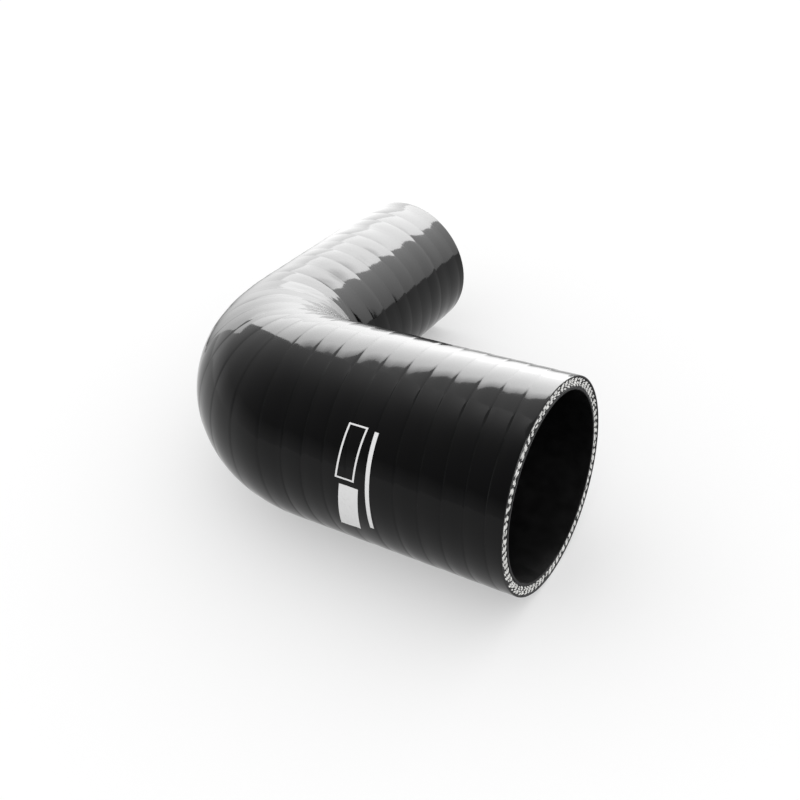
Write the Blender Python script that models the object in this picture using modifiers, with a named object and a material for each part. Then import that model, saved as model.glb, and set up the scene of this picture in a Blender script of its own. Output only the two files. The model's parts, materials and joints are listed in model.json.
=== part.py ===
"""Silicone elbow hose: a tape-wrapped 90 degree reducer elbow, lying on its side as it comes to rest.

The hose is made the way a hose shop makes it. Sheet is wound on a mandrel, pressed with a helical
tape, cured, pulled off and trimmed square. Here the wound blank and the mandrel are both turned
straight with a Screw modifier, carried round the elbow's centre line, and the mandrel is cut out.
Metres, +Z up. The wide cut end faces +X and the narrow leg points towards +Y.
"""

import math

import bmesh
import bpy
import numpy as np
from mathutils import Matrix, Vector

# Bores, which fit the outside of the two pipes, and the four-ply wall
WIDE_BORE = 0.063
NARROW_BORE = 0.051
WALL = 0.0048

# Legs from each cut end to the crossing of the two centre lines, and the bend between them
WIDE_LEG = 0.131
NARROW_LEG = 0.124
BEND_RADIUS = 0.045
BEND_ANGLE = math.radians(90)

# Marks that the curing tape leaves: one shallow barrel for each turn, with a groove at the tape's edge
TAPE_PITCH = 0.0082
TAPE_GROOVE = 0.0003
TAPE_CREST = 0.4

# How far the mandrel stands out of each cut end, and the turns wound past each end before trimming
MANDREL_OVERHANG = 0.005
SPARE_TURNS = 2

# Fineness of the mesh
SKIN_SIDES = 52
BORE_SIDES = 40
BEND_STATIONS = 14
MERGE = 1e-6
SHARP_ANGLE = math.radians(40)

WIDE_RADIUS = WIDE_BORE / 2 + WALL
NARROW_RADIUS = NARROW_BORE / 2 + WALL
BEND_SETBACK = BEND_RADIUS * math.tan(BEND_ANGLE / 2)
BEND_START = WIDE_LEG - BEND_SETBACK
BEND_LENGTH = BEND_RADIUS * BEND_ANGLE
BEND_END = BEND_START + BEND_LENGTH
HOSE_LENGTH = BEND_END + NARROW_LEG - BEND_SETBACK

SILICONE_COLOUR = (0.006, 0.006, 0.007, 1.0)
SILICONE_ROUGHNESS = 0.16


def clear_scene():
    for obj in list(bpy.data.objects):
        bpy.data.objects.remove(obj, do_unlink=True)


def new_collection(name):
    collection = bpy.data.collections.new(name)
    bpy.context.scene.collection.children.link(collection)
    return collection


def silicone():
    """Glossy black silicone rubber."""
    material = bpy.data.materials.new("silicone")
    material.use_nodes = True
    shader = material.node_tree.nodes["Principled BSDF"]
    shader.inputs["Base Color"].default_value = SILICONE_COLOUR
    shader.inputs["Roughness"].default_value = SILICONE_ROUGHNESS
    shader.inputs["Metallic"].default_value = 0.0
    return material


def narrowing(station):
    """How much the radius has shrunk at this distance from the wide end: all of it happens in the bend."""
    along = min(max((station - BEND_START) / BEND_LENGTH, 0.0), 1.0)
    return (WIDE_RADIUS - NARROW_RADIUS) * along * along * (3 - 2 * along)


def centre_line(station):
    """The centre line's point and heading angle at this distance from the wide end."""
    heading = min(max((station - BEND_START) / BEND_RADIUS, 0.0), BEND_ANGLE)
    point = Vector((
        BEND_SETBACK - BEND_RADIUS * math.sin(heading),
        BEND_RADIUS - BEND_RADIUS * math.cos(heading),
        0.0,
    ))
    straight = min(station - BEND_START, 0.0) + max(station - BEND_END, 0.0)
    return point + straight * Vector((-math.cos(heading), math.sin(heading), 0.0)), heading


def onto_elbow(point):
    """Carries a point of the straight blank, which runs along +X from the wide end, round the elbow."""
    station, side, up = point
    radius = math.hypot(side, up)
    keep = (radius - narrowing(station)) / radius if radius > narrowing(station) else 0.0
    centre, heading = centre_line(station)
    outward = Vector((-math.sin(heading), -math.cos(heading), 0.0))
    return centre + keep * (side * outward + up * Vector((0.0, 0.0, 1.0)))


def screwed(name, profile, sides, pitch=0.0, turns=1):
    """Winds a profile in the XZ plane round the X axis and returns the mesh of it."""
    line = bpy.data.meshes.new(name + "_profile")
    points = [(x, 0.0, z) for x, z in profile]
    line.from_pydata(points, [(i, i + 1) for i in range(len(points) - 1)], [])
    obj = bpy.data.objects.new(name + "_winding", line)
    bpy.context.scene.collection.objects.link(obj)
    winding = obj.modifiers.new("winding", "SCREW")
    winding.axis = "X"
    winding.angle = math.tau
    winding.screw_offset = pitch
    winding.iterations = turns
    winding.steps = winding.render_steps = sides
    winding.use_merge_vertices = True
    winding.merge_threshold = MERGE
    graph = bpy.context.evaluated_depsgraph_get()
    mesh = bpy.data.meshes.new_from_object(obj.evaluated_get(graph))
    bpy.data.objects.remove(obj, do_unlink=True)
    return mesh


def formed(mesh, trim=None):
    """Welds a straight turned mesh, trims it if asked, faces it outwards and carries it round the elbow."""
    shape = bmesh.new()
    shape.from_mesh(mesh)
    bmesh.ops.remove_doubles(shape, verts=shape.verts, dist=MERGE)
    if trim:
        trim(shape)
    bmesh.ops.recalc_face_normals(shape, faces=shape.faces)
    for vert in shape.verts:
        vert.co = onto_elbow(vert.co)
    shape.to_mesh(mesh)
    shape.free()
    return mesh


def trim_square(shape):
    """Cuts the wound blank to length with two square cuts and closes both cut ends."""
    for station, beyond in ((0.0, -1.0), (HOSE_LENGTH, 1.0)):
        bmesh.ops.bisect_plane(
            shape,
            geom=shape.verts[:] + shape.edges[:] + shape.faces[:],
            dist=MERGE,
            plane_co=(station, 0.0, 0.0),
            plane_no=(beyond, 0.0, 0.0),
            clear_outer=True,
        )
    bmesh.ops.holes_fill(shape, edges=[edge for edge in shape.edges if edge.is_boundary])


def wound_body():
    """The outside of the hose: one turn of tape after another, trimmed square at both ends."""
    first = -SPARE_TURNS * TAPE_PITCH
    shoulder = (1 - TAPE_CREST) / 2 * TAPE_PITCH
    barrel = (
        (first, WIDE_RADIUS - TAPE_GROOVE),
        (first + shoulder, WIDE_RADIUS),
        (first + TAPE_PITCH - shoulder, WIDE_RADIUS),
        (first + TAPE_PITCH, WIDE_RADIUS - TAPE_GROOVE),
    )
    turns = math.ceil(HOSE_LENGTH / TAPE_PITCH) + 2 * SPARE_TURNS
    return formed(screwed("body", barrel, SKIN_SIDES, TAPE_PITCH, turns), trim_square)


def mandrel():
    """What the hose was wound on: it runs out of both cut ends, and it follows the bend in short steps."""
    radius = WIDE_BORE / 2
    steps = [BEND_START + BEND_LENGTH * i / BEND_STATIONS for i in range(BEND_STATIONS + 1)]
    stations = [-MANDREL_OVERHANG, *steps, HOSE_LENGTH + MANDREL_OVERHANG]
    profile = [(stations[0], 0.0), *((station, radius) for station in stations), (stations[-1], 0.0)]
    return formed(screwed("mandrel", profile, BORE_SIDES))


def at_rest(mesh):
    """Lays the hose down: on the whole wide leg and the rim of the narrow end, centred over the origin."""
    reach = NARROW_LEG * math.sin(BEND_ANGLE)
    droop = math.asin(WIDE_RADIUS / math.hypot(reach, NARROW_RADIUS)) - math.atan2(NARROW_RADIUS, reach)
    tilted = Matrix.Rotation(-droop, 4, "X")
    points = np.array([tilted @ vert.co for vert in mesh.vertices])
    low = points.min(axis=0)
    middle = (low + points.max(axis=0)) / 2
    return Matrix.Translation((-middle[0], -middle[1], -low[2])) @ tilted


def build():
    clear_scene()
    parts = new_collection("silicone_elbow_hose")
    cutters = new_collection("cutters")

    body = wound_body()
    hose = bpy.data.objects.new("elbow_hose", body)
    hose.matrix_world = at_rest(body)
    hose.data.materials.append(silicone())
    parts.objects.link(hose)

    core = bpy.data.objects.new("mandrel", mandrel())
    core.matrix_world = hose.matrix_world
    core.hide_render = True
    core.display_type = "WIRE"
    cutters.objects.link(core)

    bore = hose.modifiers.new("bore", "BOOLEAN")
    bore.operation = "DIFFERENCE"
    bore.solver = "EXACT"
    bore.object = core

    hose.data.shade_smooth()
    hose.data.set_sharp_from_angle(angle=SHARP_ANGLE)


build()
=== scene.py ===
"""The looks of the silicone elbow hose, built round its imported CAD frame.

A hose of this kind is wound from sheet on a mandrel, pressed with a narrow helical tape and cured.
The tape leaves one shallow barrel for each turn, and trimming it square shows the fabric plies in
the cut ends. The pieces here are made as that straight blank, in (station, side, up), and then
carried round the bend and laid down exactly as the CAD solid is. Metres, +Z up.
"""

import json
import logging
import math
import random
from dataclasses import dataclass
from enum import Enum
from typing import Any

import bmesh
import bpy
import numpy as np
from bmesh.types import BMesh, BMVert
from bpy.types import ID, Material, Mesh, Node, NodeSocket, NodeTree, Object
from mathutils import Matrix, Vector


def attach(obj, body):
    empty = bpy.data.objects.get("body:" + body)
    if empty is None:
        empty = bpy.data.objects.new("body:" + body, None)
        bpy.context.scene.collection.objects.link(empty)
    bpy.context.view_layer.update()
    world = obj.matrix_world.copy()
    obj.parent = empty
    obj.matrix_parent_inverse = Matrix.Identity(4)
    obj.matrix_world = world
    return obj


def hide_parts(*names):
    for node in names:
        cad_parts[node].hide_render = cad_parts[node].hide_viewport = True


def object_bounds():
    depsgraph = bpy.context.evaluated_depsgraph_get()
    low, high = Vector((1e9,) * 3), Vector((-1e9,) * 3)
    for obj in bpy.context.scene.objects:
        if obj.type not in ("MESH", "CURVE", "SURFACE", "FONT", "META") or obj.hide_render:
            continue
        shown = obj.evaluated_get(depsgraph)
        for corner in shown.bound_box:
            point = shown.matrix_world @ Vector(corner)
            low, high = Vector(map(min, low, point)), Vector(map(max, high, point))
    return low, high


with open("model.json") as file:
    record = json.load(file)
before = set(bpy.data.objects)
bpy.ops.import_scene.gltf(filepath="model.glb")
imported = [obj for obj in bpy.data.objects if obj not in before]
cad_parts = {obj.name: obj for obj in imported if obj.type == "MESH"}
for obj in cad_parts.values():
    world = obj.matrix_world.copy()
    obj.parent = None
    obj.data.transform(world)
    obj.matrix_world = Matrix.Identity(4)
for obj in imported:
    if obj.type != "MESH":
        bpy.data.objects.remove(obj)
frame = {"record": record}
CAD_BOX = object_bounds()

TAU = math.tau
MERGE = 1e-6
CAD_NODE = "elbow_hose"
BODY = "root"
PRINCIPLED = "Principled BSDF"
Rows = tuple[tuple[float, ...], ...]

log = logging.getLogger("elbow_hose")


class Slot(Enum):
    """The record's material slots."""

    SILICONE = "silicone"
    REINFORCEMENT = "reinforcement"
    MARKING = "marking"


class End(Enum):
    """The two cut ends, each with the direction along the blank that leads out of it."""

    WIDE = -1.0
    NARROW = 1.0


def eased(value: np.ndarray, start: float, stop: float) -> np.ndarray:
    """A smooth step from 0 to 1.

    Args:
        value: The positions to read it at.
        start: Where it leaves 0.
        stop: Where it reaches 1.

    Returns:
        The step's value at each position.
    """
    share = np.clip((value - start) / (stop - start), 0.0, 1.0)
    return share * share * (3.0 - 2.0 * share)


@dataclass(frozen=True)
class ElbowForm:
    """The hose's driving sizes, and how a straight blank goes round the bend and lies at rest.

    Attributes:
        corner: Where the two centre lines would cross, in the row frame.
        droop: How far the narrow leg tips down to rest on the ground, in radians.
        skin_clearance: How far the look's crests stay inside the CAD solid's.
    """

    corner: Vector
    droop: float
    wide_bore: float = 0.063
    narrow_bore: float = 0.051
    wall: float = 0.0048
    wide_leg: float = 0.131
    narrow_leg: float = 0.124
    bend_radius: float = 0.045
    bend_angle: float = math.radians(90)
    skin_clearance: float = 0.00003

    @classmethod
    def from_frame(cls, record: dict[str, Any], box: tuple[Vector, Vector]) -> "ElbowForm":
        """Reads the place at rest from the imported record.

        Args:
            record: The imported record.
            box: The lowest and highest corner of the CAD solid.

        Returns:
            The form, standing where the CAD solid stands.
        """
        mounts = {mount["name"]: mount for mount in record["mounts"]}
        end = mounts["wide_end"]["pos_m"]
        run = mounts["narrow_end"]["axis"]
        corner = Vector((box[1].x - cls.wide_leg, end[1], (box[0].z + box[1].z) / 2))
        return cls(corner, math.atan2(-run[2], run[1]))

    @property
    def bore_radius(self) -> float:
        """The wide bore's radius."""
        return self.wide_bore / 2

    @property
    def skin_radius(self) -> float:
        """The radius of the tape's crests on the wide leg."""
        return self.bore_radius + self.wall - self.skin_clearance

    @property
    def setback(self) -> float:
        """From the corner to where the bend starts."""
        return self.bend_radius * math.tan(self.bend_angle / 2)

    @property
    def bend_start(self) -> float:
        """The station where the bend starts."""
        return self.wide_leg - self.setback

    @property
    def bend_end(self) -> float:
        """The station where the bend ends."""
        return self.bend_start + self.bend_radius * self.bend_angle

    @property
    def length(self) -> float:
        """The centre line's length from cut end to cut end."""
        return self.bend_end + self.narrow_leg - self.setback

    def narrowing(self, station: np.ndarray) -> np.ndarray:
        """How much the radius has shrunk at each station: all of it happens in the bend."""
        return (self.wide_bore - self.narrow_bore) / 2 * eased(station, self.bend_start, self.bend_end)

    def in_bend(self, station: np.ndarray) -> np.ndarray:
        """1 in the middle of the bend, falling to 0 on the legs."""
        lead = self.bend_radius / 3
        return eased(station, self.bend_start - lead, self.bend_start + lead) * (
            1.0 - eased(station, self.bend_end - lead, self.bend_end + lead)
        )

    def carried(self, blank: np.ndarray) -> np.ndarray:
        """Carries points of the straight blank round the bend and lays them at rest.

        Args:
            blank: One (station, side, up) row for each point.

        Returns:
            The points in the row frame.
        """
        station, side, up = blank.T
        radius = np.maximum(np.hypot(side, up), MERGE)
        keep = (radius - self.narrowing(station)) / radius
        heading = np.clip((station - self.bend_start) / self.bend_radius, 0.0, self.bend_angle)
        straight = np.minimum(station - self.bend_start, 0.0) + np.maximum(station - self.bend_end, 0.0)
        sine, cosine = np.sin(heading), np.cos(heading)
        points = np.stack(
            [
                self.setback - self.bend_radius * sine - straight * cosine - keep * side * sine,
                self.bend_radius * (1.0 - cosine) + straight * sine - keep * side * cosine,
                keep * up,
            ],
            axis=1,
        )
        rest = np.array(Matrix.Rotation(-self.droop, 3, "X"))
        return points @ rest.T + np.array(self.corner)


@dataclass(frozen=True)
class TapeMarks:
    """The relief that the curing tape leaves on the skin, as a depth under the crest radius.

    Attributes:
        pitch: From one turn to the next.
        spare_turns: Turns wound past each end before trimming.
        barrel: Points (share of the tape's width, depth) of one turn's section.
        tight_barrel: The share of that depth on the wide leg, where the tape was wound tight.
        loose_barrel: The share on the narrow leg.
        crook_barrel: What the inside of the bend adds to the share.
        back_barrel: What the outside of the bend takes off it.
        lip: How far a turn's first edge stands over the edge of the turn before, where they lap.
        lip_foot: The share of the tape's width over which the lip rises.
        lip_back: The share from which the turn sinks again towards the next lip.
        lip_loss: The share of the lip that is gone on the narrow leg.
        crook_lip: What the inside of the bend adds to it.
        crowding: How far the turns near the wide end have slipped together.
        crowded_to: The station where that slip has died out.
        wander: How far a tape edge strays from its helix.
        wander_waves: Its waves, as (size, lobes round the hose, station for one radian, phase).
        tilt: How far one edge of the tape stands over the other, where it lay at a slant.
        tilt_waves: How that changes along the tape, as (waves in a turn, size, phase).
        tilt_room: The share of tilt by which the skin lies lower, so that no crest stands out.
        swell: How far the pressed rubber rises and falls along the tape.
        swell_waves: How that changes, in the same form.
        swell_room: The share of swell, in the same way.
        crease: How deep the puckers on the inside of the bend are.
        creases: How many there are across the tape.
        crease_lobes: How often they waver round the hose.
        crease_waver: How far, in radians.
    """

    pitch: float = 0.0082
    spare_turns: int = 2
    barrel: Rows = (
        *((0.0, 0.000085), (0.022, 0.00008), (0.05, 0.000074), (0.13, 0.000055), (0.26, 0.000024), (0.4, 0.000006)),
        *((0.54, 0.0), (0.68, 0.000012), (0.8, 0.000032), (0.9, 0.000056), (0.96, 0.000073), (1.0, 0.000085)),
    )
    tight_barrel: float = 0.5
    loose_barrel: float = 0.9
    crook_barrel: float = 0.9
    back_barrel: float = 0.35
    lip: float = 0.000062
    lip_foot: float = 0.05
    lip_back: float = 0.58
    lip_loss: float = 0.88
    crook_lip: float = 0.5
    crowding: float = 0.0026
    crowded_to: float = 0.066
    wander: float = 0.00022
    wander_waves: Rows = ((1.0, 3.0, 0.011, 0.0), (0.7, 5.0, -0.007, 1.3), (0.8, 1.0, 0.019, 0.6))
    tilt: float = 0.00008
    tilt_waves: Rows = ((0.381, 1.0, 0.8), (1.27, 0.6, 0.0), (3.7, 0.08, 2.0))
    tilt_room: float = 0.85
    swell: float = 0.00004
    swell_waves: Rows = ((2.37, 1.0, 0.0), (5.61, 0.3, 1.1), (11.3, 0.06, 0.4))
    swell_room: float = 1.36
    crease: float = 0.0001
    creases: float = 2.0
    crease_lobes: float = 7.0
    crease_waver: float = 5.0

    def across(self, station: np.ndarray, angle: np.ndarray) -> tuple[np.ndarray, np.ndarray]:
        """Where a point of the blank lies on the tape.

        Args:
            station: Distances along the blank.
            angle: Angles round it, from straight up.

        Returns:
            The share of the tape's width, 0 to 1, and the turns wound so far.
        """
        wound = station / self.pitch - angle / TAU
        turn = np.floor(wound + MERGE)
        return np.clip(wound - turn, 0.0, 1.0), turn + angle / TAU

    def groove(self, station: np.ndarray, angle: np.ndarray) -> np.ndarray:
        """1 in the groove between two turns, falling to 0 at the middle of the tape."""
        share = self.across(station, angle)[0]
        return 1.0 - 2.0 * np.minimum(share, 1.0 - share)

    def drift(self, form: ElbowForm, station: np.ndarray, angle: np.ndarray) -> np.ndarray:
        """How far along the hose the tape has strayed from an even helix: nothing at the cut ends."""
        slipped = np.sin(math.pi * np.clip(station / self.crowded_to, 0.0, 1.0))
        stray = sum(
            size * np.sin(lobes * angle + station / reach + phase) for size, lobes, reach, phase in self.wander_waves
        )
        held = eased(station, 0.0, self.pitch) * (1.0 - eased(station, form.length - self.pitch, form.length))
        return self.wander * held * stray - self.crowding * slipped

    @staticmethod
    def _rippled(waves: Rows, turns: np.ndarray) -> np.ndarray:
        """The sum of the waves, each (waves in a turn, size, phase), after so many turns."""
        return sum(size * np.sin(TAU * rate * turns + phase) for rate, size, phase in waves)

    def depth(self, form: ElbowForm, station: np.ndarray, angle: np.ndarray) -> np.ndarray:
        """How far the skin lies under its crest radius.

        Args:
            form: The hose, for where it bends.
            station: Distances along the blank.
            angle: Angles round it, from straight up.

        Returns:
            The depth at each point, never below zero.
        """
        share, turns = self.across(station, angle)
        section = np.array(self.barrel)
        barrel = np.interp(share, section[:, 0], section[:, 1])
        sideways, bent = np.sin(angle), form.in_bend(station)
        inward, outward = (np.clip(way, 0.0, 1.0) * bent for way in (sideways, -sideways))
        loose = eased(station, form.bend_start, form.bend_end)
        free = 1.0 - eased(2.0 * np.abs(share - 0.5), 0.5, 1.0)
        slant = (share - 0.5) * self._rippled(self.tilt_waves, turns)
        rise = self._rippled(self.swell_waves, turns)
        wavered = self.crease_waver * np.sin(self.crease_lobes * angle)
        pucker = 0.5 - 0.5 * np.cos(TAU * self.creases * share + wavered)
        lapped = 1.0 - np.clip(share / self.lip_foot, 0.0, 1.0) + eased(share, self.lip_back, 1.0)
        wound = self.tight_barrel + (self.loose_barrel - self.tight_barrel) * loose
        return (
            barrel * (wound + self.crook_barrel * inward - self.back_barrel * outward)
            + self.lip * lapped * (1.0 - self.lip_loss * loose + self.crook_lip * inward)
            + self.tilt_room * self.tilt
            + self.swell_room * self.swell
            + free * (self.tilt * slant + self.swell * rise + self.crease * inward * pucker)
        )


def points_of(mesh: Mesh) -> np.ndarray:
    """A mesh's points, one row each."""
    points = np.empty(len(mesh.vertices) * 3, np.float32)
    mesh.vertices.foreach_get("co", points)
    return points.reshape(-1, 3).astype(float)


def move_points(mesh: Mesh, points: np.ndarray) -> None:
    """Puts a mesh's points in new places, one row each."""
    mesh.vertices.foreach_set("co", points.astype(np.float32).ravel())
    mesh.update()


def as_mesh(name: str, shape: BMesh) -> Mesh:
    """Turns a finished bmesh into a mesh.

    Args:
        name: The mesh's name.
        shape: The bmesh, which is freed.

    Returns:
        The mesh.
    """
    mesh = bpy.data.meshes.new(name)
    shape.to_mesh(mesh)
    shape.free()
    return mesh


def placed(name: str, data: ID) -> Object:
    """A new object of the scene that shows the data."""
    thing = bpy.data.objects.new(name, data)
    bpy.context.scene.collection.objects.link(thing)
    return thing


def turned(shape: BMesh, line: list[tuple[float, float]], sides: int, lead: float = 0.0) -> None:
    """Turns a line once round the blank.

    Args:
        shape: The bmesh to add to.
        line: The line's (station, radius) points.
        sides: Facets in a turn.
        lead: How far the turn moves along the blank. It closes on itself where this is 0.
    """
    points = [shape.verts.new((station, 0.0, radius)) for station, radius in line]
    edges = [shape.edges.new(pair) for pair in zip(points, points[1:])]
    bmesh.ops.spin(
        shape,
        geom=points + edges,
        cent=(0.0, 0.0, 0.0),
        axis=(1.0, 0.0, 0.0),
        dvec=(lead / sides, 0.0, 0.0),
        angle=TAU,
        steps=sides,
        use_merge=not lead,
    )


def as_piece(name: str, shape: BMesh, materials: list[Material]) -> Object:
    """Turns a finished bmesh into a piece that rides on the hose's body.

    Args:
        name: The piece's name.
        shape: The bmesh, which is freed.
        materials: Its materials, in the order that its faces number them.

    Returns:
        The new object, at the origin.
    """
    mesh = as_mesh(name, shape)
    for material in materials:
        mesh.materials.append(material)
    piece = placed(name, mesh)
    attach(piece, BODY)
    return piece


class Nodes:
    """A node tree, with one short call to place a node and join it up."""

    def __init__(self, tree: NodeTree) -> None:
        """Keeps the tree."""
        self.tree = tree

    def add(self, kind: str, inputs: dict[int | str, Any] | None = None, **settings: Any) -> Node:
        """Places a node.

        Args:
            kind: The node's type, without its ShaderNode prefix.
            inputs: A value, or a socket to join, for each input by name or number.
            **settings: The node's own properties.

        Returns:
            The node.
        """
        node = self.tree.nodes.new("ShaderNode" + kind)
        for name, value in settings.items():
            setattr(node, name, value)
        self.feed(node, inputs or {})
        return node

    def feed(self, node: Node, inputs: dict[int | str, Any]) -> None:
        """Sets a node's inputs, or joins them to the sockets given."""
        for key, value in inputs.items():
            self._give(node.inputs[key], value)

    def _give(self, socket: NodeSocket, value: Any) -> None:
        """Sets one input, or joins it."""
        if isinstance(value, NodeSocket):
            self.tree.links.new(value, socket)
        else:
            socket.default_value = value

    def math(self, operation: str, *values: Any) -> NodeSocket:
        """A Math node's result."""
        return self.add("Math", dict(enumerate(values)), operation=operation).outputs[0]

    def noise(self, vector: Any, scale: Any, detail: float = 2.0, roughness: float = 0.5) -> NodeSocket:
        """A noise's value at a vector."""
        inputs = {"Vector": vector, "Scale": scale, "Detail": detail, "Roughness": roughness}
        return self.add("TexNoise", inputs).outputs["Fac"]

    def ranged(self, value: Any, low: float, high: float, to_low: Any, to_high: Any) -> NodeSocket:
        """A value carried from one range to another, and held within it."""
        return self.add("MapRange", {0: value, 1: low, 2: high, 3: to_low, 4: to_high}).outputs[0]

    def blended(self, factor: Any, first: Any, second: Any) -> NodeSocket:
        """Two colours mixed by a factor."""
        node = self.add("Mix", data_type="RGBA")
        for name, value in (("Factor", factor), ("A", first), ("B", second)):
            self._give(next(i for i in node.inputs if i.name == name and i.enabled), value)
        return next(o for o in node.outputs if o.enabled)


def grey(level: float, tint: float = 0.0) -> tuple[float, float, float, float]:
    """A grey with a slight shift of its blue."""
    return (level, level, level * (1.0 + tint), 1.0)


def new_material(name: str) -> tuple[Material, Nodes]:
    """A new material and its nodes."""
    material = bpy.data.materials.new(name)
    material.use_nodes = True
    return material, Nodes(material.node_tree)


class SharedGroups:
    """The shader node groups that more than one finish places."""

    def __init__(self) -> None:
        """Builds both groups."""
        self.tape_texture = self._tape_texture()
        self.mottle = self._mottle()

    @staticmethod
    def _group(name: str, inputs: dict[str, tuple[str, Any]], outputs: dict[str, str]) -> tuple[Nodes, Any, Any]:
        """A new group with named sockets.

        Args:
            name: The group's name.
            inputs: The kind of socket and the default of each input.
            outputs: The kind of socket of each output.

        Returns:
            The group's nodes, its input sockets and its output node.
        """
        tree = bpy.data.node_groups.new(name, "ShaderNodeTree")
        for label, (kind, default) in inputs.items():
            socket = tree.interface.new_socket(label, in_out="INPUT", socket_type="NodeSocket" + kind)
            if default is not None:
                socket.default_value = default
        for label, kind in outputs.items():
            tree.interface.new_socket(label, in_out="OUTPUT", socket_type="NodeSocket" + kind)
        return Nodes(tree), tree.nodes.new("NodeGroupInput").outputs, tree.nodes.new("NodeGroupOutput")

    def _tape_texture(self) -> NodeTree:
        """What the tape's weave and a brushed release agent leave on the skin: fine streaks that run round it."""
        nodes, given, put = self._group(
            "tape_texture",
            {"Blank": ("Vector", None), "Groove": ("Float", 0.0)},
            {"Height": "Float", "Haze": "Float", "Groove Line": "Float"},
        )
        drawn_out = nodes.add("Mapping", {"Vector": given["Blank"], "Scale": (1.0, 0.09, 0.09)}).outputs[0]
        streaks = nodes.noise(drawn_out, 420.0, 3.0, 0.6)
        peel = nodes.noise(given["Blank"], 900.0, 2.0, 0.45)
        slow = nodes.noise(given["Blank"], 75.0, 2.0)
        height = nodes.math("MULTIPLY_ADD", streaks, 0.55, nodes.math("MULTIPLY", peel, 0.45))
        drawn = nodes.ranged(streaks, 0.35, 0.75, 0.0, 1.0)
        haze = nodes.math("MULTIPLY", drawn, nodes.ranged(slow, 0.4, 0.7, 0.2, 1.0))
        broken = nodes.ranged(nodes.noise(given["Blank"], 260.0, 2.0), 0.35, 0.65, 0.35, 1.0)
        line = nodes.math("MULTIPLY", nodes.ranged(given["Groove"], 0.9, 1.0, 0.0, 1.0), broken)
        nodes.feed(put, {"Height": height, "Haze": haze, "Groove Line": line})
        return nodes.tree

    def _mottle(self) -> NodeTree:
        """An uneven surface at two sizes, for rubber that was cut or left off the mandrel, and for ink."""
        nodes, given, put = self._group(
            "mottle",
            {"Vector": ("Vector", None), "Coarse": ("Float", 300.0), "Fine": ("Float", 2500.0)},
            {"Mask": "Float", "Height": "Float"},
        )
        coarse = nodes.noise(given["Vector"], given["Coarse"], 3.0, 0.55)
        fine = nodes.noise(given["Vector"], given["Fine"], 2.0, 0.5)
        height = nodes.math("MULTIPLY_ADD", coarse, 0.6, nodes.math("MULTIPLY", fine, 0.4))
        nodes.feed(put, {"Mask": nodes.ranged(coarse, 0.3, 0.7, 0.0, 1.0), "Height": height})
        return nodes.tree


@dataclass(frozen=True)
class Finish:
    """What every finish here shares: one Principled shader with a bump on it.

    Attributes:
        colour: The level of its main grey.
        roughness: Its roughness where it is smoothest.
        relief: The height of its bump, in metres.
    """

    groups: SharedGroups
    name: str
    colour: float
    roughness: float
    relief: float
    specular: float
    ior: float = 1.45

    def texture(self, nodes: Nodes) -> tuple[Any, Any, Any]:
        """Places what the finish is made of.

        Args:
            nodes: The material's nodes.

        Returns:
            The base colour, the roughness and the bump's height.
        """
        raise NotImplementedError

    def material(self) -> Material:
        """Builds it.

        Returns:
            The material.
        """
        material, nodes = new_material(self.name)
        colour, rough, height = self.texture(nodes)
        bump = nodes.add("Bump", {"Height": height, "Distance": self.relief, "Strength": 1.0}).outputs[0]
        gloss = {"Roughness": rough, "Specular IOR Level": self.specular, "IOR": self.ior}
        nodes.feed(nodes.tree.nodes[PRINCIPLED], {"Base Color": colour, **gloss, "Normal": bump})
        return material


@dataclass(frozen=True)
class GlossSilicone(Finish):
    """The skin: jet-black silicone with the high gloss of the cellophane-faced tape.

    Attributes:
        residue: The level of the grey that stays in the grooves.
        haze: The roughness that the streaks add.
        dulling: The roughness that the grooves add.
    """

    name: str = "gloss_black_silicone"
    colour: float = 0.003
    roughness: float = 0.07
    relief: float = 0.000012
    specular: float = 0.17
    residue: float = 0.006
    haze: float = 0.05
    dulling: float = 0.06

    def texture(self, nodes: Nodes) -> tuple[Any, Any, Any]:
        """Places its parts, as Finish says."""
        blank = nodes.add("Attribute", attribute_name="blank").outputs["Vector"]
        groove = nodes.add("Attribute", attribute_name="groove").outputs["Fac"]
        texture = nodes.add("Group", node_tree=self.groups.tape_texture)
        nodes.feed(texture, {"Blank": blank, "Groove": groove})
        line = texture.outputs["Groove Line"]
        colour = nodes.blended(line, grey(self.colour, 0.06), grey(self.residue, 0.03))
        hazed = nodes.math("MULTIPLY_ADD", texture.outputs["Haze"], self.haze, self.roughness)
        dulled = nodes.math("MULTIPLY_ADD", line, self.dulling, hazed)
        return colour, dulled, texture.outputs["Height"]


@dataclass(frozen=True)
class MottledRubber(Finish):
    """Black rubber with an uneven, duller surface: the liner, or the wall where the knife went through.

    Attributes:
        other: The level of the grey of its spots.
        tint: The shift of both greys' blue.
        uneven: The roughness that the spots add.
        coarse: The scale of the spots.
        fine: The scale of the specks in them.
    """

    name: str = "satin_liner"
    colour: float = 0.0022
    roughness: float = 0.4
    relief: float = 0.00003
    specular: float = 0.1
    other: float = 0.004
    tint: float = 0.04
    uneven: float = 0.12
    coarse: float = 260.0
    fine: float = 2500.0

    def texture(self, nodes: Nodes) -> tuple[Any, Any, Any]:
        """Places its parts, as Finish says."""
        scales = {"Coarse": self.coarse, "Fine": self.fine}
        where = nodes.add("TexCoord").outputs["Object"]
        mottle = nodes.add("Group", {"Vector": where, **scales}, node_tree=self.groups.mottle).outputs
        spots = self.spots(nodes, mottle["Mask"], mottle["Height"])
        colour = nodes.blended(spots, grey(self.colour, self.tint), grey(self.other, self.tint))
        rough = nodes.math("MULTIPLY_ADD", mottle["Mask"], self.uneven, self.roughness)
        return colour, rough, mottle["Height"]

    def spots(self, nodes: Nodes, mask: NodeSocket, height: NodeSocket) -> NodeSocket:
        """Where its colour changes."""
        return mask


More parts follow.
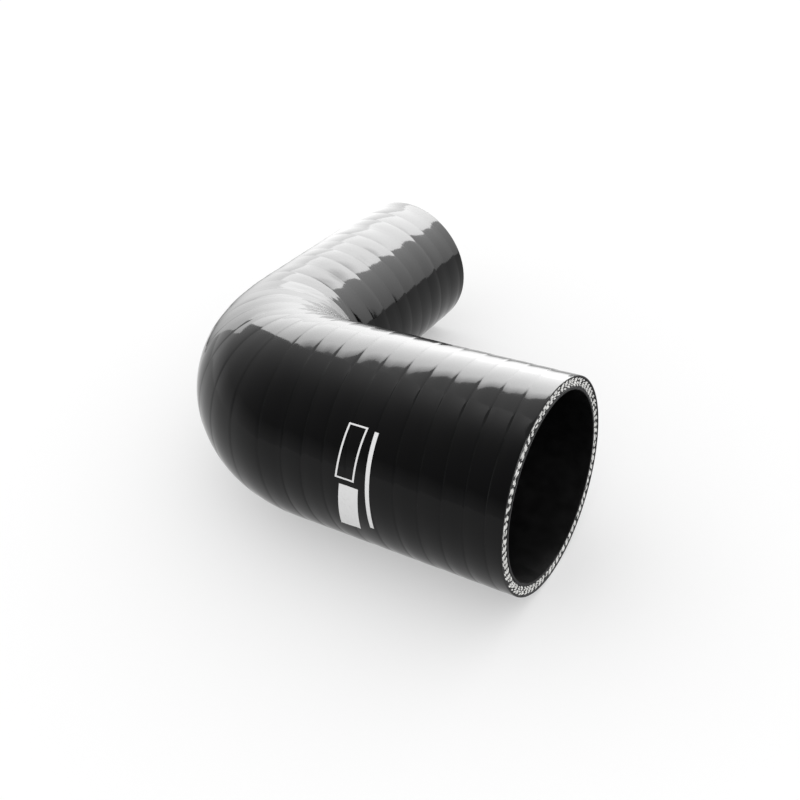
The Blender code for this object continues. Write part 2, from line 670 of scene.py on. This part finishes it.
@dataclass(frozen=True)
class YarnFibre(Finish):
    """The cut yarns of the plies: off-white fibre, each end a little darker or lighter than the next.

    Attributes:
        shaded: The level of the grey between the fibres.
        fibre: The scale of the fibres.
        end_size: The scale at which one yarn end differs from the next.
    """

    name: str = "ply_yarn"
    colour: float = 0.95
    roughness: float = 0.85
    relief: float = 0.00008
    specular: float = 0.12
    ior: float = 1.5
    shaded: float = 0.5
    fibre: float = 4200.0
    end_size: float = 520.0

    def texture(self, nodes: Nodes) -> tuple[Any, Any, Any]:
        """Places its parts, as Finish says."""
        where = nodes.add("TexCoord").outputs["Object"]
        fibre = nodes.noise(where, self.fibre, 2.0, 0.6)
        per_end = nodes.ranged(nodes.noise(where, self.end_size, 1.0), 0.32, 0.58, 0.45, 1.0)
        light = nodes.math("MULTIPLY", nodes.ranged(fibre, 0.38, 0.56, 0.35, 1.0), per_end)
        colour = nodes.blended(light, grey(self.shaded, -0.03), grey(self.colour, -0.02))
        return colour, self.roughness, fibre


@dataclass(frozen=True)
class PrintInk(MottledRubber):
    """Light grey ink, printed on the skin and worn thin in spots."""

    name: str = "grey_ink"
    colour: float = 0.74
    roughness: float = 0.34
    relief: float = 0.000012
    specular: float = 0.3
    other: float = 0.5
    tint: float = 0.0
    uneven: float = 0.1
    coarse: float = 900.0
    fine: float = 4200.0

    def spots(self, nodes: Nodes, mask: NodeSocket, height: NodeSocket) -> NodeSocket:
        """Only the crests of the mottle are worn."""
        return nodes.ranged(height, 0.58, 0.8, 0.0, 1.0)


@dataclass
class HoseBody:
    """The hose itself: the wound skin outside, the liner inside and the two square cuts between them.

    Attributes:
        sides: Facets round the hose.
        bore_step: From one ring of the bore's mesh to the next.
        skin_thickness: The plain black layer outside the plies.
        liner_thickness: The plain black layer inside them.
        ply_recess: How far the cut plies stand back from the rubber on both sides of them.
        rim_round: The rounding that the knife leaves at the outer rim.
        rim_points: That round's points, as shares of it (in from the cut, in from the skin).
        face_inset: How far the cut faces stay inside the CAD solid's.
        sharp_angle: The bend between two faces from which their edge is sharp.
    """

    form: ElbowForm
    marks: TapeMarks
    groups: SharedGroups
    sides: int = 224
    bore_step: float = 0.0026
    skin_thickness: float = 0.0007
    liner_thickness: float = 0.0008
    ply_recess: float = 0.0003
    rim_round: float = 0.0003
    rim_points: Rows = ((0.5, 0.15), (0.2, 0.4))
    face_inset: float = 0.00004
    sharp_angle: float = math.radians(42)

    def _wound_skin(self) -> Mesh:
        """Winds the tape's turns on a cylinder and trims them at both ends."""
        shape = bmesh.new()
        pitch = self.marks.pitch
        start = -self.marks.spare_turns * pitch
        line = [(start + share * pitch, self.form.skin_radius) for share, _ in self.marks.barrel]
        turned(shape, line, self.sides, pitch)
        turn = shape.verts[:] + shape.edges[:] + shape.faces[:]
        turns = math.ceil(self.form.length / pitch) + 2 * self.marks.spare_turns
        for number in range(1, turns):
            copy = bmesh.ops.duplicate(shape, geom=turn)["geom"]
            points = [item for item in copy if isinstance(item, BMVert)]
            bmesh.ops.translate(shape, verts=points, vec=(number * pitch, 0.0, 0.0))
        bmesh.ops.remove_doubles(shape, verts=shape.verts, dist=MERGE)
        for station, beyond in ((self.rim_round, -1.0), (self.form.length - self.rim_round, 1.0)):
            everything = shape.verts[:] + shape.edges[:] + shape.faces[:]
            plane = {"plane_co": (station, 0.0, 0.0), "plane_no": (beyond, 0.0, 0.0)}
            bmesh.ops.bisect_plane(shape, geom=everything, dist=MERGE, **plane, clear_outer=True)
        return as_mesh("wound_skin", shape)

    def _cut_section(self) -> list[tuple[float, float]]:
        """The section of a cut end from its outer rim to its bore, as (distance in, radius)."""
        outer, inner = self.form.skin_radius, self.form.bore_radius
        plies_out = outer - self.skin_thickness
        plies_in = inner + self.liner_thickness
        bevel = self.ply_recess / 2
        return [
            *((self.rim_round * along, outer - self.rim_round * down) for along, down in self.rim_points),
            (self.face_inset, outer - self.rim_round * 0.9),
            (self.face_inset, plies_out),
            (self.face_inset + self.ply_recess, plies_out - bevel),
            (self.face_inset + self.ply_recess, plies_in + bevel),
            (self.face_inset, plies_in),
            (self.face_inset, inner + bevel),
            (self.face_inset + bevel, inner),
        ]

    def _lathed_core(self, shape: BMesh) -> None:
        """Turns the bore and both cut faces in one go."""
        length, radius = self.form.length, self.form.bore_radius
        cut = self._cut_section()
        steps = round(length / self.bore_step)
        bore = [(length * step / steps, radius) for step in range(1, steps)]
        turned(shape, cut + bore + [(length - inset, reach) for inset, reach in reversed(cut)], self.sides)

    def _joined(self, shape: BMesh, skin: Mesh) -> None:
        """Adds the skin over the core and closes the two rims between them."""
        shape.from_mesh(skin)
        bpy.data.meshes.remove(skin)
        for wide in (True, False):
            open_edges = (edge for edge in shape.edges if edge.is_boundary)
            rims = [edge for edge in open_edges if (edge.verts[0].co.x < self.form.length / 2) == wide]
            bmesh.ops.bridge_loops(shape, edges=rims)

    def _number_faces(self, shape: BMesh) -> None:
        """Gives each face its material: 0 for the skin, 1 for the liner, 2 for the cut wall."""
        for face in shape.faces:
            centre = face.calc_center_median()
            radius = math.hypot(centre.y, centre.z)
            if radius > self.form.skin_radius - self.rim_round:
                face.material_index = 0
            elif radius < self.form.bore_radius + self.ply_recess * 0.4:
                face.material_index = 1
            else:
                face.material_index = 2
            face.smooth = True

    def relieved(self, blank: np.ndarray) -> np.ndarray:
        """Presses the tape's marks into points of the blank, the more so the nearer they are to the skin.

        Args:
            blank: One (station, side, up) row for each point.

        Returns:
            The points, pressed.
        """
        station, side, up = blank.T
        radius = np.hypot(side, up)
        angle = np.arctan2(-side, up) % TAU
        outer = self.form.skin_radius
        near = np.clip((radius - outer + self.skin_thickness) / self.skin_thickness, 0.0, 1.0)
        pressed = radius - near * self.marks.depth(self.form, station, angle)
        moved = station + near * self.marks.drift(self.form, station, angle)
        return np.stack([moved, -pressed * np.sin(angle), pressed * np.cos(angle)], axis=1)

    def build(self) -> Object:
        """Makes the body and dresses it.

        Returns:
            The body, which stands for the CAD solid.
        """
        shape = bmesh.new()
        self._lathed_core(shape)
        self._joined(shape, self._wound_skin())
        bmesh.ops.recalc_face_normals(shape, faces=shape.faces)
        self._number_faces(shape)
        piece = as_piece("hose_body", shape, self.dress())
        mesh = piece.data
        blank = points_of(mesh)
        groove = self.marks.groove(blank[:, 0], np.arctan2(-blank[:, 1], blank[:, 2]) % TAU)
        # Where each point lay on the straight blank, for patterns that follow the skin
        kept = (("blank", "FLOAT_VECTOR", "vector", blank), ("groove", "FLOAT", "value", groove))
        for name, kind, part, values in kept:
            mesh.attributes.new(name, kind, "POINT").data.foreach_set(part, values.astype(np.float32).ravel())
        move_points(mesh, self.form.carried(self.relieved(blank)))
        mesh.set_sharp_from_angle(angle=self.sharp_angle)
        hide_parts(CAD_NODE)
        return piece

    def dress(self) -> list[Material]:
        """The skin's, the liner's and the cut wall's materials."""
        skin, liner = GlossSilicone(self.groups), MottledRubber(self.groups)
        duller = {"colour": 0.008, "other": 0.02, "roughness": 0.62, "coarse": 1400.0, "specular": 0.2}
        cut = MottledRubber(self.groups, "cut_rubber", **duller)
        return [skin.material(), liner.material(), cut.material()]


@dataclass(frozen=True)
class PlyRow:
    """One ply's ring of cut yarns.

    Attributes:
        depth: How far through the ply layer it lies, 0 at the liner and 1 at the skin.
        lag: How far its ends lie behind the innermost row's on average, as a share of the spacing.
        long: Half the length of an end, round the ring.
        wide: Half its width, across the wall.
        slant: How far the ends lean from the ring's direction, in radians.
    """

    depth: float
    lag: float
    long: float
    wide: float
    slant: float


@dataclass
class YarnEnds:
    """The cut ends of the fabric plies, in the wall of one cut end.

    Attributes:
        rows: The rings of yarn ends, from the liner outwards.
        spacing: From one yarn end to the next, round the ring.
        proud: How far an end bulges out of the recess.
        unevenness: How much the ends differ in size and place.
        missing: The share of ends that lie too deep to be seen.
        clusters: How many times the lag of a row comes and goes round the ring.
    """

    body: HoseBody
    end: End
    rows: tuple[PlyRow, ...] = (
        PlyRow(0.0, 0.0, 0.0011, 0.00035, math.radians(16)),
        PlyRow(0.33, 0.07, 0.00103, 0.00034, math.radians(9)),
        PlyRow(0.67, 0.2, 0.001, 0.00034, math.radians(-8)),
        PlyRow(1.0, 0.15, 0.00112, 0.00035, math.radians(-15)),
    )
    spacing: float = 0.00252
    proud: float = 0.00022
    segments: int = 8
    rings: int = 5
    unevenness: float = 0.3
    missing: float = 0.05
    clusters: float = 3.0
    seed: int = 11

    def _yarn_end(self) -> Mesh:
        """One domed yarn end, of unit size, to set in place again and again."""
        shape = bmesh.new()
        bmesh.ops.create_uvsphere(shape, u_segments=self.segments, v_segments=self.rings, radius=1.0)
        return as_mesh("yarn_end", shape)

    def _row(self, shape: BMesh, yarn_end: Mesh, row: PlyRow, luck: random.Random) -> None:
        """Adds one ring of yarn ends.

        Args:
            shape: The bmesh to add to.
            yarn_end: The end to set in place.
            row: The ply.
            luck: Where its unevenness comes from.
        """
        body, form = self.body, self.body.form
        inner = form.bore_radius + body.liner_thickness + body.ply_recess
        outer = form.skin_radius - body.skin_thickness - body.ply_recess
        centre = inner + row.wide + row.depth * (outer - inner - 2 * row.wide)
        station = form.length if self.end is End.NARROW else 0.0
        girth = TAU * (inner - float(form.narrowing(np.array(station))))
        count = round(girth / self.spacing)
        level = station - self.end.value * (body.face_inset + body.ply_recess)
        for number in range(count):
            if luck.random() < self.missing:
                continue
            lag = row.lag * (1.0 + math.cos(self.clusters * TAU * number / count + 0.7))
            angle = TAU * (number + lag + luck.uniform(-0.5, 0.5) * self.unevenness) / count
            reach = centre + luck.uniform(-0.5, 0.5) * self.unevenness * row.wide
            size = 1.0 + luck.uniform(-1.0, 0.5) * self.unevenness
            lean = row.slant * luck.uniform(0.6, 1.4)
            place = (
                Matrix.Rotation(angle, 4, "X")
                @ Matrix.Translation((level, 0.0, reach))
                @ Matrix.Rotation(math.pi / 2 + lean, 4, "X")
                @ Matrix.Diagonal((self.proud, row.wide * size, row.long * size, 1.0))
            )
            stamp = yarn_end.copy()
            stamp.transform(place)
            shape.from_mesh(stamp)
            bpy.data.meshes.remove(stamp)

    def build(self) -> Object:
        """Makes the rings and dresses them.

        Returns:
            The piece with all of this end's yarn ends.
        """
        shape = bmesh.new()
        luck = random.Random(self.seed + int(self.end.value))
        yarn_end = self._yarn_end()
        for row in self.rows:
            self._row(shape, yarn_end, row, luck)
        bpy.data.meshes.remove(yarn_end)
        for face in shape.faces:
            face.smooth = True
        name = f"yarn_ends_{self.end.name.lower()}"
        piece = as_piece(name, shape, [self.dress()])
        move_points(piece.data, self.body.form.carried(points_of(piece.data)))
        return piece

    def dress(self) -> Material:
        """The yarn's material, one for both ends."""
        known = bpy.data.materials.get(YarnFibre.name)
        return known or YarnFibre(groups=self.body.groups).material()


@dataclass(frozen=True)
class InkBar:
    """One printed bar that runs round the hose.

    Attributes:
        name: The piece's name.
        station: The middle of its width, from the wide end.
        width: Its width along the hose.
        upper: The angle of its upper end, in degrees from straight up.
        lower: The angle of its lower end.
        shear: How far along the hose its slanted ends lean.
        line: The width of its outline where it is hollow, or 0 where it is filled.
    """

    name: str
    station: float
    width: float
    upper: float
    lower: float
    shear: float
    line: float = 0.0


@dataclass
class PrintedMark:
    """Plain printed bars, one filled, one in outline and a thin line, where such hoses carry a print.

    Attributes:
        film: How far the ink stands on the skin.
        sunk: How far the film's foot reaches into the skin.
        step: The width of the mesh's faces, along the hose.
        stretch: How much longer than that they are round the hose.
        fewest: The fewest faces across a bar.
    """

    body: HoseBody
    bars: tuple[InkBar, ...] = (
        InkBar("ink_bar", 0.0555, 0.0066, 280.0, 252.0, 0.0018),
        InkBar("ink_outline", 0.0552, 0.0066, 312.0, 283.0, 0.0018, 0.0007),
        InkBar("ink_line", 0.0482, 0.0013, 311.0, 257.0, 0.0004),
    )
    film: float = 0.00003
    sunk: float = 0.00012
    step: float = 0.0003
    stretch: float = 1.8
    fewest: int = 6

    def _film(self, bar: InkBar) -> BMesh:
        """A thin film over the bar's place, as points (station, angle, height over the skin).

        Args:
            bar: The bar.

        Returns:
            The film's bmesh.
        """
        radius = self.body.form.skin_radius
        low, high = math.radians(bar.lower), math.radians(bar.upper)
        shape = bmesh.new()
        bmesh.ops.create_grid(
            shape,
            x_segments=max(self.fewest, round(bar.width / self.step)),
            y_segments=round((high - low) * radius / self.step / self.stretch),
            size=0.5,
        )
        if bar.line:
            rim = bar.line / bar.width, bar.line / ((high - low) * radius)
            middles = {face: face.calc_center_median() for face in shape.faces}
            inner = [face for face, at in middles.items() if all(abs(at[axis]) < 0.5 - rim[axis] for axis in (0, 1))]
            bmesh.ops.delete(shape, geom=inner, context="FACES")
        slab = bmesh.ops.extrude_face_region(shape, geom=shape.faces[:])["geom"]
        top = [item for item in slab if isinstance(item, BMVert)]
        bmesh.ops.translate(shape, verts=top, vec=(0.0, 0.0, 1.0))
        bmesh.ops.recalc_face_normals(shape, faces=shape.faces)
        for vert in shape.verts:
            along, round_it, raised = vert.co
            vert.co = (
                bar.station + along * bar.width - round_it * bar.shear,
                low + (round_it + 0.5) * (high - low),
                self.film if raised > 0.5 else -self.sunk,
            )
        return shape

    def build(self) -> list[Object]:
        """Makes the bars and dresses them.

        Returns:
            The bars.
        """
        material = self.dress()
        made = []
        for bar in self.bars:
            piece = as_piece(bar.name, self._film(bar), [material])
            station, angle, height = points_of(piece.data).T
            marks, form = self.body.marks, self.body.form
            radius = form.skin_radius - marks.depth(form, station, angle) + height
            moved = station + marks.drift(form, station, angle)
            blank = np.stack([moved, -radius * np.sin(angle), radius * np.cos(angle)], axis=1)
            move_points(piece.data, form.carried(blank))
            made.append(piece)
        return made

    def dress(self) -> Material:
        """The ink's material."""
        return PrintInk(groups=self.body.groups).material()


@dataclass(frozen=True)
class Card:
    """A studio card, curved round the hose, that only reflections see: a soft panel, or a dark flag.

    Attributes:
        name: The card's name.
        start: The bearing of one side, in degrees from +Y towards +X.
        stop: The bearing of the other side.
        bottom: The elevation of its lower edge, in degrees.
        top: The elevation of its upper edge.
        foot: Its light at its lower edge.
        head: Its light at its upper edge, before the fade.
        fade: The share of its height over which the light falls off again at the top.
        rest: The share of the light that is left there.
        wane: How steeply the light falls off from stop to start, as a power. 0 is even.
        least: The share of the light that is left at start.
        spill: The light that its foot catches from the white floor.
        spill_height: Up to where it does, as a share of reach.
        reach: How far from the hose it stands.
        step: The turn from one facet to the next.
    """

    name: str
    start: float
    stop: float
    bottom: float
    top: float
    foot: float
    head: float
    fade: float = 0.0
    rest: float = 0.0
    wane: float = 0.0
    least: float = 0.0
    spill: float = 0.0
    spill_height: float = 0.3
    reach: float = 1.6
    step: float = math.radians(4)

    def build(self) -> None:
        """Makes the card and its light."""
        reach = self.reach
        low, high = (reach * math.tan(math.radians(angle)) for angle in (self.bottom, self.top))
        start, turn = math.radians(self.start), math.radians(self.stop - self.start)
        shape = bmesh.new()
        side = [shape.verts.new((reach * math.sin(start), reach * math.cos(start), z)) for z in (low, high)]
        edge = shape.edges.new(side)
        bmesh.ops.spin(
            shape,
            geom=[*side, edge],
            cent=(0.0, 0.0, 0.0),
            axis=(0.0, 0.0, 1.0),
            angle=-turn,
            steps=max(2, math.ceil(abs(turn) / self.step)),
            use_merge=False,
        )
        card = placed(self.name, as_mesh(self.name, shape))
        card.data.materials.append(self._light(low, high))
        card.visible_camera = card.visible_diffuse = card.visible_shadow = False
        card.visible_transmission = card.visible_volume_scatter = False

    def _light(self, low: float, high: float) -> Material:
        """A material that shines with an even change from its lower to its upper edge.

        Args:
            low: The lower edge's height.
            high: The upper edge's height.

        Returns:
            The material.
        """
        material, nodes = new_material(self.name)
        nodes.tree.nodes.remove(nodes.tree.nodes[PRINCIPLED])
        place = nodes.add("TexCoord").outputs["Object"]
        along, away, height = nodes.add("SeparateXYZ", {0: place}).outputs
        strength = nodes.ranged(height, low, high, self.foot, self.head)
        if self.wane:
            bearing = nodes.math("ARCTAN2", along, away)
            share = nodes.ranged(bearing, math.radians(self.start), math.radians(self.stop), 0.0, 1.0)
            waned = nodes.math("MULTIPLY_ADD", nodes.math("POWER", share, self.wane), 1.0 - self.least, self.least)
            strength = nodes.math("MULTIPLY", strength, waned)
        if self.fade:
            fading = nodes.ranged(height, high - self.fade * (high - low), high, 1.0, self.rest)
            strength = nodes.math("MULTIPLY", strength, fading)
        if self.spill:
            spilt = nodes.ranged(height, 0.0, self.spill_height * self.reach, self.spill, 0.0)
            strength = nodes.math("ADD", strength, spilt)
        light = nodes.add("Emission", {"Color": grey(1.0), "Strength": strength})
        nodes.feed(nodes.tree.nodes["Material Output"], {"Surface": light.outputs[0]})
        return material


@dataclass(frozen=True)
class PhotoCamera:
    """The camera where the photograph was taken from.

    Attributes:
        azimuth: Direction from the target, in degrees from +X towards +Y.
        elevation: Height over the horizon, in degrees.
        roll: Turn about the line of sight, in degrees.
        lens: Focal length in millimetres.
        sensor: The sensor's width in millimetres.
    """

    target: tuple[float, float, float] = (0.009666, -0.022822, 0.035201)
    distance: float = 0.348956
    azimuth: float = -54.04
    elevation: float = 34.899
    roll: float = -6.967
    lens: float = 42.931
    sensor: float = 36.0
    clip: tuple[float, float] = (0.01, 30.0)

    def build(self) -> None:
        """Makes the camera and sets it as the scene's."""
        azimuth, elevation, roll = map(math.radians, (self.azimuth, self.elevation, self.roll))
        flat = math.cos(elevation)
        back = Vector((flat * math.cos(azimuth), flat * math.sin(azimuth), math.sin(elevation)))
        level = Vector((0.0, 0.0, 1.0)).cross(back).normalized()
        upright = back.cross(level)
        right = math.cos(roll) * level + math.sin(roll) * upright
        top = math.cos(roll) * upright - math.sin(roll) * level
        data = bpy.data.cameras.new("photo_camera")
        data.lens, data.sensor_width, data.sensor_fit = self.lens, self.sensor, "HORIZONTAL"
        data.clip_start, data.clip_end = self.clip
        camera = placed("photo_camera", data)
        turn = Matrix((right, top, back)).transposed().to_4x4()
        camera.matrix_world = Matrix.Translation(Vector(self.target) + self.distance * back) @ turn
        bpy.context.scene.camera = camera


@dataclass
class Studio:
    """A white floor under even light, with panels and flags for the gloss to show.

    Attributes:
        floor_size: Half the floor's width.
        floor_white: The floor's colour.
        floor_glow: The light that the floor adds to its own shade, where it is seen.
        ambient: The world's light on matt surfaces.
        cards: The panels and flags.
    """

    floor_size: float = 5.0
    floor_white: float = 0.57
    floor_glow: float = 0.38
    ambient: float = 1.13
    cards: tuple[Card, ...] = (
        Card("back_panel", -60.0, 14.0, 0.0, 49.0, 10.0, 40.0, fade=0.25, rest=0.45, wane=1.1, least=0.38),
        Card("back_sweep", -84.0, 1.0, 0.0, 30.0, 0.3, 13.5, wane=1.3, least=0.34, reach=0.2),
        Card("side_panel", 14.0, 46.0, 0.0, 49.0, 3.5, 11.5),
        Card("left_panel", -178.0, -60.0, 0.0, 72.0, 1.3, 4.5, wane=2.2, least=0.12, spill=0.6),
        Card("high_panel", -60.0, 60.0, 49.0, 76.0, 3.1, 2.2),
        Card("side_flag", 46.0, 80.0, 0.0, 49.0, 0.0, 0.3),
        Card("right_panel", 96.0, 130.0, 12.0, 58.0, 8.0, 24.0, fade=0.3, rest=0.2),
    )

    def _floor(self) -> None:
        """Lays the floor."""
        shape = bmesh.new()
        bmesh.ops.create_grid(shape, x_segments=1, y_segments=1, size=self.floor_size)
        material, nodes = new_material("floor_white")
        matt = {"Base Color": grey(self.floor_white), "Roughness": 1.0, "Specular IOR Level": 0.0}
        glow = nodes.math("MULTIPLY", self._seen(nodes), self.floor_glow)
        nodes.feed(nodes.tree.nodes[PRINCIPLED], {**matt, "Emission Color": grey(1.0), "Emission Strength": glow})
        floor = placed("floor", as_mesh("floor", shape))
        floor.data.materials.append(material)

    @staticmethod
    def _seen(nodes: Nodes) -> NodeSocket:
        """1 for what the camera sees, directly, in a reflection or through glass."""
        path = nodes.add("LightPath").outputs
        seen = nodes.math("ADD", path["Is Camera Ray"], path["Is Glossy Ray"])
        return nodes.math("MINIMUM", nodes.math("ADD", seen, path["Is Transmission Ray"]), 1.0)

    def _world(self) -> None:
        """White to the eye and in reflections, and an even light on matt surfaces."""
        world = bpy.data.worlds.new("studio")
        bpy.context.scene.world = world
        world.use_nodes = True
        nodes = Nodes(world.node_tree)
        strength = nodes.ranged(self._seen(nodes), 0.0, 1.0, self.ambient, 1.0)
        nodes.feed(nodes.tree.nodes["Background"], {"Color": grey(1.0), "Strength": strength})

    def build(self) -> None:
        """Sets up the floor, the world, the cards and the colour handling."""
        self._floor()
        self._world()
        for card in self.cards:
            card.build()
        bpy.context.scene.view_settings.view_transform = "Standard"


def main() -> None:
    """Builds the studio and the hose, and reports each piece."""
    logging.basicConfig(level=logging.INFO, format="%(message)s")
    PhotoCamera().build()
    Studio().build()
    form = ElbowForm.from_frame(frame["record"], CAD_BOX)
    groups = SharedGroups()
    body = HoseBody(form, TapeMarks(), groups)
    pieces = [body.build(), *(YarnEnds(body, end).build() for end in End), *PrintedMark(body).build()]
    for piece in pieces:
        piece.data.calc_loop_triangles()
        log.info("%s: %d triangles", piece.name, len(piece.data.loop_triangles))


if __name__ == "__main__":
    main()
